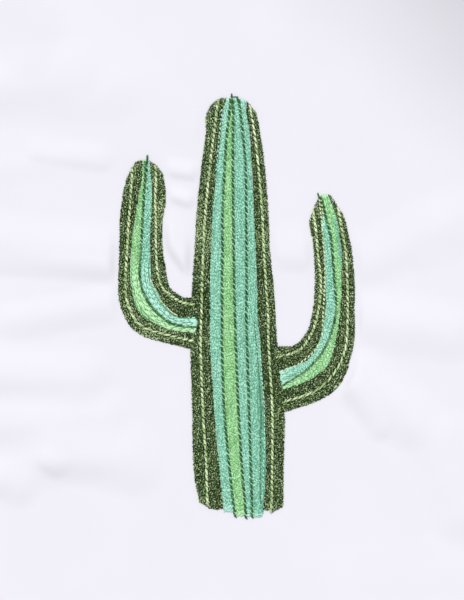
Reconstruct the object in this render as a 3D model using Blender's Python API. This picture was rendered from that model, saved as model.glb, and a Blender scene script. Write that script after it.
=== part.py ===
"""An embroidered cloth panel lying flat: a cactus with two arms, worked in coloured thread.

Metres, +Z up. The origin is the middle of the panel's underside. The cactus stands along +Y,
the picture's left is -X, and the thread lies on the upper face of the cloth.

Each limb of the cactus is a set of cuts across it, from its tip to its foot. Seams run along
the limb through the cuts, and every run of stitches fills the strip between two seams. Along
some seams lies a single line of outline stitches.
"""
import math

import bmesh
import bpy
from mathutils import Vector

MM = 0.001

# The cloth
PANEL_WIDTH = 216 * MM
PANEL_LENGTH = 272 * MM
CLOTH_THICKNESS = 0.5 * MM
CLOTH_COLUMNS = 30
CLOTH_ROWS = 38

# The thread
CLEARANCE = 0.3 * MM
LINE_WIDTH = 0.9 * MM
SHOULDER_HEIGHT = 0.4 * MM
CREST_HEIGHT = 0.85 * MM
END_CREST_HEIGHT = 0.55 * MM
LINE_CREST_HEIGHT = 1.2 * MM
CREST_RUN_WIDTH = 2.5 * MM
NARROWEST_RUN = 0.6 * MM
CROWN_SHARES = (0.0, 0.25, 0.75, 1.0)
END_ROUNDING = 0.012
STITCH_BASE = CLOTH_THICKNESS + CLEARANCE

# Colours, linear, and finish
CLOTH_WHITE = (0.88, 0.87, 0.94)
DARK_GREEN = (0.045, 0.075, 0.025)
PALE_GREEN = (0.55, 0.72, 0.38)
LIGHT_GREEN = (0.25, 0.60, 0.25)
TEAL = (0.20, 0.58, 0.40)
CLOTH_ROUGHNESS = 0.8
THREAD_ROUGHNESS = 0.5
SHARP_ANGLE = math.radians(40)

# Cuts across a limb, in millimetres: where the middle lies, the width, and how far across it
# each inner seam crosses, from 0 at the first edge to 1 at the second.
TRUNK_SEAMS = ("left_edge", "left_pale", "left_join", "left_line", "middle_line", "right_line",
               "right_join", "right_pale", "right_edge")
TRUNK_CUTS = (
    ((-0.4, 83.2), 21.7, (0.26, 0.40, 0.48, 0.53, 0.65, 0.77, 0.80)),
    ((-0.2, 77.1), 21.6, (0.21, 0.32, 0.44, 0.53, 0.67, 0.80, 0.86)),
    ((0.3, 69.7), 22.3, (0.15, 0.27, 0.38, 0.50, 0.68, 0.80, 0.89)),
    ((0.6, 55.4), 26.4, (0.135, 0.235, 0.355, 0.49, 0.685, 0.78, 0.885)),
    ((0.2, 34.9), 29.9, (0.12, 0.215, 0.36, 0.51, 0.69, 0.79, 0.90)),
    ((0.2, 8.2), 33.2, (0.115, 0.22, 0.37, 0.52, 0.675, 0.795, 0.91)),
    ((1.0, -18.5), 35.8, (0.115, 0.22, 0.355, 0.515, 0.645, 0.79, 0.895)),
    ((2.5, -45.1), 37.9, (0.12, 0.24, 0.355, 0.50, 0.62, 0.79, 0.87)),
    ((2.8, -67.7), 36.9, (0.125, 0.275, 0.385, 0.53, 0.635, 0.805, 0.87)),
    ((4.2, -89.4), 33.4, (0.10, 0.26, 0.41, 0.55, 0.625, 0.755, 0.85)),
)

ARM_SEAMS = ("outer_edge", "outer_pale", "outer_join", "line", "inner_join", "inner_pale",
             "inner_edge")
LEFT_ARM_CUTS = (
    ((-35.7, 58.0), 13.9, (0.05, 0.44, 0.49, 0.63, 0.78)),
    ((-35.8, 52.5), 14.6, (0.11, 0.44, 0.49, 0.67, 0.80)),
    ((-35.8, 43.1), 18.4, (0.165, 0.375, 0.475, 0.65, 0.73)),
    ((-37.1, 32.8), 18.1, (0.20, 0.35, 0.52, 0.705, 0.84)),
    ((-37.3, 22.6), 17.8, (0.175, 0.27, 0.515, 0.71, 0.855)),
    ((-36.8, 11.5), 19.3, (0.135, 0.23, 0.45, 0.69, 0.825)),
    ((-36.1, 3.3), 21.5, (0.145, 0.29, 0.49, 0.745, 0.88)),
    ((-32.4, -3.4), 22.2, (0.175, 0.35, 0.52, 0.75, 0.895)),
    ((-25.8, -7.4), 21.3, (0.19, 0.31, 0.445, 0.62, 0.885)),
    ((-17.3, -9.3), 21.4, (0.175, 0.34, 0.425, 0.63, 0.87)),
)
RIGHT_ARM_CUTS = (
    ((38.3, 43.5), 11.9, (0.17, 0.36, 0.70, 0.80, 0.90)),
    ((38.5, 37.7), 12.3, (0.11, 0.24, 0.55, 0.72, 0.92)),
    ((39.1, 32.0), 15.0, (0.14, 0.245, 0.46, 0.66, 0.86)),
    ((41.2, 20.5), 15.7, (0.175, 0.285, 0.515, 0.71, 0.89)),
    ((41.9, 8.2), 16.2, (0.17, 0.30, 0.485, 0.73, 0.85)),
    ((41.9, -4.1), 17.1, (0.185, 0.38, 0.485, 0.73, 0.885)),
    ((40.7, -14.5), 20.2, (0.175, 0.385, 0.545, 0.715, 0.91)),
    ((36.3, -24.4), 23.8, (0.18, 0.40, 0.575, 0.68, 0.895)),
    ((28.5, -30.6), 24.6, (0.175, 0.39, 0.53, 0.67, 0.90)),
    ((20.8, -31.6), 26.6, (0.13, 0.335, 0.42, 0.59, 0.83)),
)

# An end of a limb, in millimetres: how far its corners lie back, how full the curve is (a high
# power is blunt), how far across its foremost point lies, and how far the whole end slants.
TRUNK_TIP = (7.8, 2.4, 0.50, 0.0)
TRUNK_FOOT = (6.0, 1.5, 0.60, 0.0)
LEFT_ARM_TIP = (6.0, 2.2, 0.35, 1.5)
LEFT_ARM_FOOT = (0.0, 1.0, 0.50, 4.8)
RIGHT_ARM_TIP = (8.0, 1.6, 0.52, 0.0)
RIGHT_ARM_FOOT = (0.0, 1.0, 0.50, 1.0)

# Runs of fill stitches: name, first seam, second seam, colour
TRUNK_RUNS = (
    ("dark_left_outer", "left_edge", "left_pale", DARK_GREEN),
    ("dark_left_inner", "left_pale", "left_join", DARK_GREEN),
    ("teal_left", "left_join", "left_line", TEAL),
    ("light_green", "left_line", "middle_line", LIGHT_GREEN),
    ("teal_middle", "middle_line", "right_line", TEAL),
    ("teal_right", "right_line", "right_join", TEAL),
    ("dark_right_inner", "right_join", "right_pale", DARK_GREEN),
    ("dark_right_outer", "right_pale", "right_edge", DARK_GREEN),
)
ARM_RUNS = (
    ("dark_outer", "outer_edge", "outer_pale", DARK_GREEN),
    ("dark_beside_green", "outer_pale", "outer_join", DARK_GREEN),
    ("light_green", "outer_join", "line", LIGHT_GREEN),
    ("teal", "line", "inner_join", TEAL),
    ("dark_beside_teal", "inner_join", "inner_pale", DARK_GREEN),
    ("dark_inner", "inner_pale", "inner_edge", DARK_GREEN),
)

# Lines of outline stitches: the seam that each lies along, its name and its colour
TRUNK_LINES = {
    "left_pale": ("pale_line_left", PALE_GREEN),
    "left_line": ("dark_line_left", DARK_GREEN),
    "middle_line": ("dark_line_middle", DARK_GREEN),
    "right_line": ("dark_line_right", DARK_GREEN),
    "right_pale": ("pale_line_right", PALE_GREEN),
}
ARM_LINES = {
    "outer_pale": ("pale_line_outer", PALE_GREEN),
    "line": ("dark_line", DARK_GREEN),
    "inner_pale": ("pale_line_inner", PALE_GREEN),
}

# Loose thread ends at the tips, in millimetres: name, foot of the end, its tip, its width
THREAD_ENDS = (
    ("trunk_thread_end", (-0.2, 83.7), (-0.3, 85.2), 1.6),
    ("left_arm_thread_end", (-34.9, 58.7), (-34.9, 60.1), 0.9),
    ("right_arm_thread_end", (35.3, 42.8), (35.0, 44.4), 0.9),
)
THREAD_END_HEIGHT = 0.6 * MM
THREAD_END_TAPER = ((0.0, 1.0), (0.6, 0.8), (1.0, 0.4))

# Soft folds that the stitching draws into the cloth, in millimetres: both ends of the crest,
# the reach to each side of it, and its height
FOLDS = (
    ((-70, 60), (-44, 59), 6, 0.5),
    ((-70, 34), (-48, 34), 7, 0.4),
    ((-108, 16), (-50, 14), 9, 1.1),
    ((-108, -10), (-50, -3), 9, 1.1),
    ((-108, -29), (-56, -28), 10, 0.8),
    ((-108, -50), (-76, -50), 8, 0.6),
    ((-80, -65), (-30, -69), 7, 1.0),
    ((-108, -78), (-80, -78), 6, 0.5),
    ((51, 15), (66, 15), 7, 0.4),
    ((51, -5), (108, -22), 10, 1.1),
    ((50, -28), (108, -58), 11, 1.6),
)
FLAT_MARGIN = 8.0
FOLD_RISE = 8.0

# Steps of the modelling, in millimetres
TRUNK_ROW_SPACING = 8.0
ARM_ROW_SPACING = 4.5
DIRECTION_STEP = 3.0
OUTLINE_STEP = 2.0
SCAN_STEPS = 200


def smooth(knots, values, place):
    """The value at a place on a smooth curve through all the values, straight past its ends."""
    last = len(knots) - 1
    slopes = []
    for i in range(last + 1):
        before, after = max(i - 1, 0), min(i + 1, last)
        slopes.append((values[after] - values[before]) / (knots[after] - knots[before]))
    for end in (0, last):
        past = place - knots[end]
        if past < 0 and end == 0 or past > 0 and end == last:
            return values[end] + slopes[end] * past
    i = 0
    while i < last - 1 and place > knots[i + 1]:
        i += 1
    span = knots[i + 1] - knots[i]
    t = (place - knots[i]) / span
    bend = t * t * (3 - 2 * t)
    rise = t * (1 - t) * ((1 - t) * slopes[i] - t * slopes[i + 1]) * span
    return values[i] * (1 - bend) + values[i + 1] * bend + rise


class Limb:
    """A limb of the cactus. A place along it is the distance from its tip, in millimetres."""

    def __init__(self, name, seams, cuts, tip, foot, runs, lines, row_spacing, mirrored=False):
        self.name, self.seams, self.tip, self.foot = name, seams, tip, foot
        self.runs, self.lines, self.row_spacing = runs, lines, row_spacing
        self.turn = -1 if mirrored else 1
        self.middles = [Vector(middle) for middle, _, _ in cuts]
        self.widths = [width for _, width, _ in cuts]
        self.shares = [(0.0, *shares, 1.0) for _, _, shares in cuts]
        self.knots = [0.0]
        for before, after in zip(self.middles, self.middles[1:]):
            self.knots.append(self.knots[-1] + (after - before).length)
        self.length = self.knots[-1]

    def middle(self, place):
        return Vector([smooth(self.knots, [m[axis] for m in self.middles], place) for axis in (0, 1)])

    def width(self, place):
        return smooth(self.knots, self.widths, place)

    def across(self, place):
        """Unit direction from the first edge to the second."""
        ahead = self.middle(place + DIRECTION_STEP) - self.middle(place - DIRECTION_STEP)
        return Vector((-ahead.y, ahead.x)).normalized() * self.turn

    def share(self, seam, place):
        """How far across the limb a seam lies."""
        column = self.seams.index(seam)
        return smooth(self.knots, [row[column] for row in self.shares], place)

    def point(self, share, place, shift=0.0):
        """A point some share of the way across, shifted across by some millimetres."""
        return self.middle(place) + self.across(place) * (self.width(place) * (share - 0.5) + shift)

    def margin(self, seam):
        """Half of what lies along a seam, with its clearance, in millimetres."""
        if seam in self.lines:
            return (LINE_WIDTH / 2 + CLEARANCE) / MM
        return 0.0 if seam.endswith("edge") else CLEARANCE / 2 / MM


def set_back(shape, share):
    """How far an end of a limb lies back from its foremost point, some share of the way across."""
    depth, power, foremost, slant = shape
    reach = foremost if share < foremost else 1 - foremost
    return depth * abs((share - foremost) / reach) ** power + slant * (share - 0.5)


class Strip:
    """The part of a limb between two seams, each shifted across it by some millimetres."""

    def __init__(self, limb, first, first_shift, second, second_shift):
        self.limb = limb
        self.sides = ((first, first_shift), (second, second_shift))
        scan = [limb.length * i / SCAN_STEPS for i in range(SCAN_STEPS + 1)]
        wide = [place for place in scan if self.width(place) >= NARROWEST_RUN / MM]
        self.start, self.stop = wide[0], wide[-1]

    def side(self, index, place):
        seam, shift = self.sides[index]
        return self.limb.point(self.limb.share(seam, place), place, shift)

    def width(self, place):
        """Positive where the second side lies beyond the first."""
        return (self.side(1, place) - self.side(0, place)).dot(self.limb.across(place))

    def point(self, across, along):
        """A point by its shares of the way across the strip and along it, from tip to foot."""
        limb = self.limb
        places = []
        for place, shape in ((0.0, limb.tip), (limb.length, limb.foot)):
            first, second = (limb.share(seam, place) for seam, _ in self.sides)
            places.append(set_back(shape, first + (second - first) * across))
        start = max(self.start, places[0])
        stop = limb.length - places[1] if self.stop >= limb.length else self.stop
        place = start + (stop - start) * along
        return self.side(0, place).lerp(self.side(1, place), across)


def new_object(name, bm, colour, roughness):
    """Make a named object of a bmesh, with a material of its own."""
    bmesh.ops.recalc_face_normals(bm, faces=bm.faces)
    mesh = bpy.data.meshes.new(name)
    bm.to_mesh(mesh)
    bm.free()
    mesh.shade_smooth()
    mesh.set_sharp_from_angle(angle=SHARP_ANGLE)
    obj = bpy.data.objects.new(name, mesh)
    bpy.context.scene.collection.objects.link(obj)
    material = bpy.data.materials.new(name)
    material.use_nodes = True
    shader = material.node_tree.nodes["Principled BSDF"]
    shader.inputs["Base Color"].default_value = (*colour, 1.0)
    shader.inputs["Roughness"].default_value = roughness
    shader.inputs["Metallic"].default_value = 0.0
    mesh.materials.append(material)
    return obj


def loft(name, sections, colour):
    """Close a solid over a row of sections, each a ring of points of the same count."""
    bm = bmesh.new()
    rings = [[bm.verts.new(point) for point in section] for section in sections]
    for before, after in zip(rings, rings[1:]):
        for i in range(len(before)):
            j = (i + 1) % len(before)
            bm.faces.new((before[i], before[j], after[j], after[i]))
    bm.faces.new(rings[0])
    bm.faces.new(rings[-1])
    return new_object(name, bm, colour, THREAD_ROUGHNESS)


def section(points, shoulder, crest):
    """Ring round a run of stitches: flat below, with two shoulders and a crowned top."""
    heights = (shoulder, crest, crest, shoulder)
    base = [Vector((*(points[i] * MM), STITCH_BASE)) for i in (0, -1)]
    top = [Vector((*(point * MM), STITCH_BASE + height)) for point, height in zip(points, heights)]
    return base + top[::-1]


def stitched_solid(strip, name, crest, colour):
    """A crowned solid over a strip, rounded off at both ends."""
    rows = round((strip.stop - strip.start) / strip.limb.row_spacing)
    steps = [0.0, END_ROUNDING, *(i / rows for i in range(1, rows)), 1 - END_ROUNDING, 1.0]
    sections = []
    for step in steps:
        points = [strip.point(across, step) for across in CROWN_SHARES]
        fullness = min(1.0, (points[-1] - points[0]).length * MM / CREST_RUN_WIDTH)
        height = SHOULDER_HEIGHT + (crest - SHOULDER_HEIGHT) * fullness
        if step in (0.0, 1.0):
            height = END_CREST_HEIGHT
        sections.append(section(points, SHOULDER_HEIGHT, height))
    return loft(f"{strip.limb.name}_{name}", sections, colour)


def fill_run(limb, name, first, second, colour):
    """The fill stitches between two seams."""
    strip = Strip(limb, first, limb.margin(first), second, -limb.margin(second))
    return stitched_solid(strip, name, CREST_HEIGHT, colour)


def line_of_stitches(limb, seam, name, colour):
    """The outline stitches along one seam."""
    half = LINE_WIDTH / 2 / MM
    return stitched_solid(Strip(limb, seam, -half, seam, half), name, LINE_CREST_HEIGHT, colour)


def thread_end(name, foot, tip, width):
    """A loose end of thread, a small wedge that points away from the limb."""
    foot, tip = Vector(foot), Vector(tip)
    along = (tip - foot).normalized()
    half = Vector((-along.y, along.x)) * width / 2
    sections = []
    for share, narrowing in THREAD_END_TAPER:
        centre = foot.lerp(tip, share)
        points = [centre + half * narrowing * (2 * across - 1) for across in CROWN_SHARES]
        height = THREAD_END_HEIGHT * narrowing
        sections.append(section(points, height / 2, height))
    return loft(name, sections, DARK_GREEN)


def outline_samples(limbs):
    """Points along the middles of the limbs, each with the half width there."""
    samples = []
    for limb in limbs:
        count = round(limb.length / OUTLINE_STEP)
        for i in range(count + 1):
            place = limb.length * i / count
            samples.append((limb.middle(place), limb.width(place) / 2))
    return samples


def fold_height(point, samples):
    """Height of the cloth above the table, in millimetres. It is flat under the stitches."""
    total = 0.0
    for start, end, reach, height in FOLDS:
        start, end = Vector(start), Vector(end)
        along = end - start
        share = max(0.0, min(1.0, (point - start).dot(along) / along.length_squared))
        off = (point - start.lerp(end, share)).length
        if off < reach:
            total += height * (0.5 + 0.5 * math.cos(math.pi * off / reach))
    gap = min((point - middle).length - half for middle, half in samples)
    return total * max(0.0, min(1.0, (gap - FLAT_MARGIN) / FOLD_RISE))


def cloth_panel(samples):
    """The cloth, one sheet of even thickness with soft folds round the stitching."""
    bm = bmesh.new()
    layers = []
    for lift in (0.0, CLOTH_THICKNESS):
        rows = []
        for j in range(CLOTH_ROWS + 1):
            y = PANEL_LENGTH * (j / CLOTH_ROWS - 0.5)
            xs = [PANEL_WIDTH * (i / CLOTH_COLUMNS - 0.5) for i in range(CLOTH_COLUMNS + 1)]
            heights = [fold_height(Vector((x, y)) / MM, samples) * MM + lift for x in xs]
            rows.append([bm.verts.new((x, y, z)) for x, z in zip(xs, heights)])
        layers.append(rows)
    for rows in layers:
        for j in range(CLOTH_ROWS):
            for i in range(CLOTH_COLUMNS):
                bm.faces.new((rows[j][i], rows[j][i + 1], rows[j + 1][i + 1], rows[j + 1][i]))
    rims = []
    for rows in layers:
        front, back = rows[0], rows[-1][::-1]
        right = [row[-1] for row in rows[1:-1]]
        left = [row[0] for row in rows[1:-1]][::-1]
        rims.append(front + right + back + left)
    lower, upper = rims
    for i in range(len(lower)):
        j = (i + 1) % len(lower)
        bm.faces.new((lower[i], lower[j], upper[j], upper[i]))
    return new_object("cloth_panel", bm, CLOTH_WHITE, CLOTH_ROUGHNESS)


def build_limb(limb):
    for name, first, second, colour in limb.runs:
        fill_run(limb, name, first, second, colour)
    for seam, (name, colour) in limb.lines.items():
        line_of_stitches(limb, seam, name, colour)


def main():
    for obj in list(bpy.data.objects):
        bpy.data.objects.remove(obj, do_unlink=True)
    trunk = Limb("trunk", TRUNK_SEAMS, TRUNK_CUTS, TRUNK_TIP, TRUNK_FOOT, TRUNK_RUNS, TRUNK_LINES,
                 TRUNK_ROW_SPACING)
    left_arm = Limb("left_arm", ARM_SEAMS, LEFT_ARM_CUTS, LEFT_ARM_TIP, LEFT_ARM_FOOT, ARM_RUNS,
                    ARM_LINES, ARM_ROW_SPACING)
    right_arm = Limb("right_arm", ARM_SEAMS, RIGHT_ARM_CUTS, RIGHT_ARM_TIP, RIGHT_ARM_FOOT, ARM_RUNS,
                     ARM_LINES, ARM_ROW_SPACING, mirrored=True)
    limbs = (trunk, left_arm, right_arm)
    cloth_panel(outline_samples(limbs))
    for limb in limbs:
        build_limb(limb)
    for end in THREAD_ENDS:
        thread_end(*end)


main()
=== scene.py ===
"""An embroidered cloth panel lying flat: a cactus with two arms, in coloured thread on cotton.

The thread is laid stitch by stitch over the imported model, which gives the frame. Lengths are in
millimetres where nothing else is said: the cactus stands along +Y, the picture's left is -X, and
the embroidered face looks up. MM turns millimetres into metres where a mesh is made.
"""
import math
import bpy
import numpy as np
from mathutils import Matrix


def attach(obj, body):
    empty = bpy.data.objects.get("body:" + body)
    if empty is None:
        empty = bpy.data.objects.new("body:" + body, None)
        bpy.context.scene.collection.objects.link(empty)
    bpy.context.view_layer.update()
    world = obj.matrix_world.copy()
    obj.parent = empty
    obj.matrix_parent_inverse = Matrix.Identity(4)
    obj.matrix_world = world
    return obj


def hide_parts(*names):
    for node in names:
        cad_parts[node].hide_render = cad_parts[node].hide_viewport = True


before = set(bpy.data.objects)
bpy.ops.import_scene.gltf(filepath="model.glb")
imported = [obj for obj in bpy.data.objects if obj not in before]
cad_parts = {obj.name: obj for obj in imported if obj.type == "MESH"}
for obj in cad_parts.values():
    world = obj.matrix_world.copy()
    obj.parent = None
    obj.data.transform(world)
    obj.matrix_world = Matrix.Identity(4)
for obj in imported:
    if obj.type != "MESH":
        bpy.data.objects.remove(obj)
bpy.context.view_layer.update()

MM = 0.001
rng = np.random.default_rng(7)

# The cloth, in millimetres
PANEL = (216.0, 272.0)
CLOTH_TOP = 0.5
CLOTH_THICKNESS = 0.35
CLOTH_STEP = 1.1

# Heights over the table, in millimetres
BED_TOP = 0.95
STITCH_FOOT = 0.85
FILL_CREST = 1.60
FILL_SHOULDER = 1.25
LINE_CREST = 1.85

# The thread: a stitch is a flattened bar, thinner past TAPER_FROM of its length from its middle,
# and its height follows a sine to a power. Its tone has a grain, partly random and partly painted
# glints, and its twist stands proud.
THREAD_RADIUS = 0.21
THREAD_FLATNESS = 0.7
STITCH_SIDES = 5
STITCH_ROUNDING = 0.6
TAPER_FROM = 0.32
TAPER = 0.5
LIGHT_GRAIN = (0.30, 0.50, 0.45)
DARK_GRAIN = (0.42, 0.60, 0.45)
RELIEF = 0.05

# Fill stitches: rows side by side, stitch lengths, and how uneven they are. A run is highest in
# its middle, fully so where its half width is at least CROWN_FULL_HALF.
ROW_SPACING = 0.40
FILL_STITCH = {"dark_green": 1.15, "light_green": 1.4, "teal": 1.4}
LONG_STITCH = 2.7
LONG_FADE = 5.0
UNEVENNESS = 0.4
SHORTEST_SHARE = 0.35
SHORTEST_ROW = 0.8
SIDE_DRIFT = 0.07
EDGE_SPREAD = (-0.05, 0.12)
ROW_END_SPREAD = 0.5
CREST_SPREAD = 0.06
CROWN_LEAST_HALF = 0.3
CROWN_FULL_HALF = 1.25

# The padding under a run: its foot, and how far it keeps inside the run's sides, end and tip
BED_FOOT = 0.45
BED_INSET = 0.1
BED_END_GAP = 0.4
BED_TIP_GAP = 0.5
BED_LEAST_WIDTH = 0.3

# Stray loops at the cactus's edge: how far along, in and out they go, how high and how thick
# they are, and how far apart, each from and to
FUZZ_LENGTH = (0.4, 1.3)
FUZZ_INSIDE = (0.0, 0.4)
FUZZ_OUTSIDE = (0.3, 0.7)
FUZZ_CREST = (0.95, 1.3)
FUZZ_RADIUS = (0.12, 0.2)
FUZZ_STEP = (0.35, 1.3)
FUZZ_FOOT = 0.6
FUZZ_END_GAP = 0.3

# Tones of the thread, from 0, deep, to 1, bright: the usual level and its spread. A few stitches
# get a painted glint, and light ones whiten within some millimetres of the limb's ends.
# Painted shade: the padding seen in the gaps between stitches takes a deep tone of its thread.
PAINTED_GAP_SHADE_TONE = {"dark_green": 0.0, "light_green": 0.25, "teal": 0.25}
TONES = {"dark_green": (0.24, 0.16), "pale_green": (0.5, 0.18), "light_green": (0.5, 0.20),
         "teal": (0.5, 0.21)}
PAINTED_GLINT = {"dark_green": 0.42, "pale_green": 0.35, "light_green": 0.35, "teal": 0.35}
PAINTED_GLINT_SHARE = 0.12
END_WHITENING = 0.55
WHITENING_REACH = 3.0

# Where the dark threads are paler or darker than usual: the middle, the reach and the change
TONE_PATCHES = (
    ((-14.8, 27.0), 9.0, 0.45),
    ((-13.9, 33.5), 3.5, 0.25),
    ((15.8, 24.5), 8.0, 0.22),
    ((13.8, 37.5), 4.0, 0.20),
    ((20.0, -21.0), 4.0, 0.20),
    ((12.0, 11.0), 5.0, -0.20),
    ((47.5, -19.0), 3.5, 0.20),
    ((-14.5, 39.0), 5.0, 0.25),
    ((-44.5, 24.0), 5.0, -0.20),
    ((49.0, 10.5), 4.0, -0.25),
    ((-9.5, 68.0), 8.0, 0.12),
    ((-29.0, 36.0), 7.0, 0.35),
    ((-40.5, 38.0), 5.0, -0.20),
    ((-30.0, 17.0), 5.0, -0.15),
    ((13.0, -15.0), 8.0, -0.12),
    ((-30.0, 54.0), 6.0, 0.15),
    ((-34.0, -12.0), 12.0, 0.20),
    ((13.5, -28.0), 16.0, -0.16),
    ((-13.7, -2.0), 12.0, -0.20),
    ((-14.0, -65.0), 16.0, -0.07),
    ((14.5, -68.0), 16.0, -0.06),
)

# Outline stitches: length, repeat and slant, the threads side by side, and the tone and its spread
LINE_STYLES = {
    "pale_green": (2.45, 2.25, 0.24, (-0.22, 0.22), 0.48, 0.20),
    "deep_green": (2.4, 2.35, 0.24, (-0.32, 0.0, 0.32), 0.30, 0.18),
    "solid": (3.0, 2.3, 0.18, (-0.26, 0.0, 0.26), 0.62, 0.30),
    "pale_dots": (1.35, 1.8, 0.10, (-0.12, 0.12), 0.70, 0.20),
    "faint_dots": (1.3, 1.9, 0.12, (0.0,), 0.65, 0.25),
    "row": (2.2, 1.9, 0.05, (0.0,), 0.5, 0.15),
    "wide_row": (2.2, 1.9, 0.05, (-0.4, 0.0, 0.4), 0.5, 0.25),
}
LINE_RADIUS = 0.23
LINE_STAGGER = 0.8
LINE_LAST_SHARE = 0.4
LINE_LENGTH_SPREAD = (0.88, 1.1)
LINE_REPEAT_SPREAD = (0.93, 1.07)
LINE_TONE_SPREAD = 0.06
LINE_CREST_SPREAD = 0.05
DARK_LINE_DROP = 0.1
DARK_LINE_SHIFT = -0.15

# Rows laid over the fill: name, thread, style, crest, how much paler, and the points they pass
LOOSE_ROWS = (
    ("trunk_shaded_row", "deep_green", "row", 1.72, 0.15,
     ((8.9, -7.5), (9.4, -13.7), (10.5, -24.8), (11.1, -34.2), (11.6, -42.4), (11.7, -52.7),
      (11.3, -65.0), (11.4, -75.2), (11.7, -83.4))),
    ("trunk_pale_row", "teal", "faint_dots", 1.77, 0.3,
     ((11.1, -17.8), (11.9, -28.1), (12.3, -34.2), (12.9, -40.4), (13.1, -50.6), (13.0, -60.9),
      (12.5, -73.2), (12.1, -81.4))),
    ("trunk_whitish_row", "teal", "faint_dots", 1.74, 0.3,
     ((-4.3, 79.0), (-5.3, 68.3), (-6.1, 60.0), (-6.8, 52.9))),
    ("left_arm_tip_row", "dark_green", "faint_dots", 1.78, -0.3,
     ((-34.7, 56.5), (-35.0, 51.0), (-34.9, 45.0))),
    ("left_arm_green_row", "light_green", "faint_dots", 1.72, 0.0,
     ((-36.6, 57.3), (-36.8, 51.9), (-37.3, 46.5))),
    ("left_arm_whitish_row", "pale_green", "row", 1.74, 0.15,
     ((-33.7, 9.4), (-31.6, 4.4), (-30.5, 2.1), (-29.4, 0.1), (-27.5, -1.8), (-24.8, -4.6),
      (-22.6, -5.7))),
    ("right_arm_tip_row", "pale_green", "pale_dots", 1.8, -0.15,
     ((36.3, 42.0), (36.9, 37.9), (37.5, 33.4))),
    ("right_arm_dotted_row", "pale_green", "pale_dots", 1.8, 0.0,
     ((35.6, 42.2), (35.9, 38.3), (36.7, 31.4), (37.1, 25.2), (37.7, 19.1), (37.9, 10.9),
      (37.5, 0.6), (37.1, -5.5), (36.6, -14.4), (33.8, -19.9), (30.4, -23.2), (26.7, -25.8),
      (22.2, -27.9), (19.9, -28.5))),
    ("right_arm_shaded_rows", "teal", "wide_row", 1.66, -0.55,
     ((41.6, 35.1), (42.4, 30.1), (43.3, 25.2), (44.1, 19.1), (44.4, 13.7))),
    ("right_arm_dark_row", "deep_green", "row", 1.74, 0.0,
     ((39.2, 44.0), (41.2, 39.6), (42.2, 37.1), (42.9, 34.2), (44.1, 30.5), (44.9, 25.2),
      (45.6, 19.1), (45.2, 12.9))),
)

# Loose thread ends at the tips: name, then both ends of each strand
THREAD_ENDS = (
    ("trunk_thread_end", ((0.0, 83.5), (-0.3, 85.4)), ((-0.6, 83.6), (-0.4, 85.2)),
     ((-0.8, 83.7), (1.2, 83.9)), ((0.4, 83.9), (2.5, 83.8)), ((1.6, 83.7), (2.5, 81.4)),
     ((2.3, 83.4), (2.6, 81.0))),
    ("left_arm_thread_end", ((-34.7, 56.4), (-34.7, 60.3)), ((-35.2, 56.5), (-35.1, 60.0)),
     ((-34.9, 56.2), (-34.9, 58.4))),
    ("right_arm_thread_end", ((36.1, 41.0), (35.0, 44.7)), ((35.7, 42.0), (34.8, 44.4)),
     ((35.9, 41.6), (35.4, 43.6))),
)
END_STRAND = {"crest": 1.75, "radius": 0.22, "tone": 0.2, "foot": 1.1}

# How far short of their limb's foot some runs end
FOOT_TRIMS = {"trunk_dark_left_inner": 4.6, "trunk_teal_left": 3.5, "trunk_light_green": 1.5,
              "trunk_teal_middle": 1.1, "trunk_teal_right": 0.8, "trunk_dark_right_inner": 3.4,
              "trunk_dark_right_outer": 1.7, "left_arm_light_green": 0.4,
              "right_arm_light_green": 0.9, "right_arm_teal": 0.6}

# Painted sheen: how much paler an arm's light threads get towards its foot, where its rows turn
# across the light, and over which shares of its length
FOOT_PAINTED_SHEEN = {"left_arm_light_green": 0.36, "left_arm_teal": 0.32, "right_arm_light_green": 0.12,
               "right_arm_teal": 0.24}
FOOT_SHEEN_FROM = 0.45
FOOT_SHEEN_REACH = 0.35

# How much paler the dark threads of a limb or a run are than usual
DARK_PALING = {"left_arm": 0.04, "right_arm": 0.02, "trunk_dark_left_inner": -0.03,
               "trunk_dark_right_inner": -0.045}

# The trunk's outer teal runs are paler near the tip. The right one is darker all along, and
# still darker on its right side towards the foot.
TEAL_TIP_PALING = 0.3
TEAL_TIP_REACH = 22.0
TEAL_RIGHT_DARKER = 0.08
TEAL_SHADE = 0.35
TEAL_SHADE_FROM = 105.0
TEAL_SHADE_REACH = 15.0
TEAL_SHADE_SIDE = 0.6

# Where the light threads lie in long shiny stitches, in millimetres from the tip: from, to. Each
# row there has a tone of its own.
LONG_STRETCHES = {"trunk": ((-5.0, 5.0),), "left_arm": ((42.0, 100.0),),
                  "right_arm": ((-5.0, 16.0), (80.0, 110.0))}
STREAKING = 0.38

# How much paler a pale line is near the tip, and where that ends, in millimetres from the tip
TIP_BRIGHTENING = {"trunk_right_pale": 0.28}
BRIGHT_TO = 28.0

# Where an arm's dark line turns from single stitches into an unbroken line, from the tip
SOLID_FROM = {"left_arm": 34.0, "right_arm": 46.0}

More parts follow.
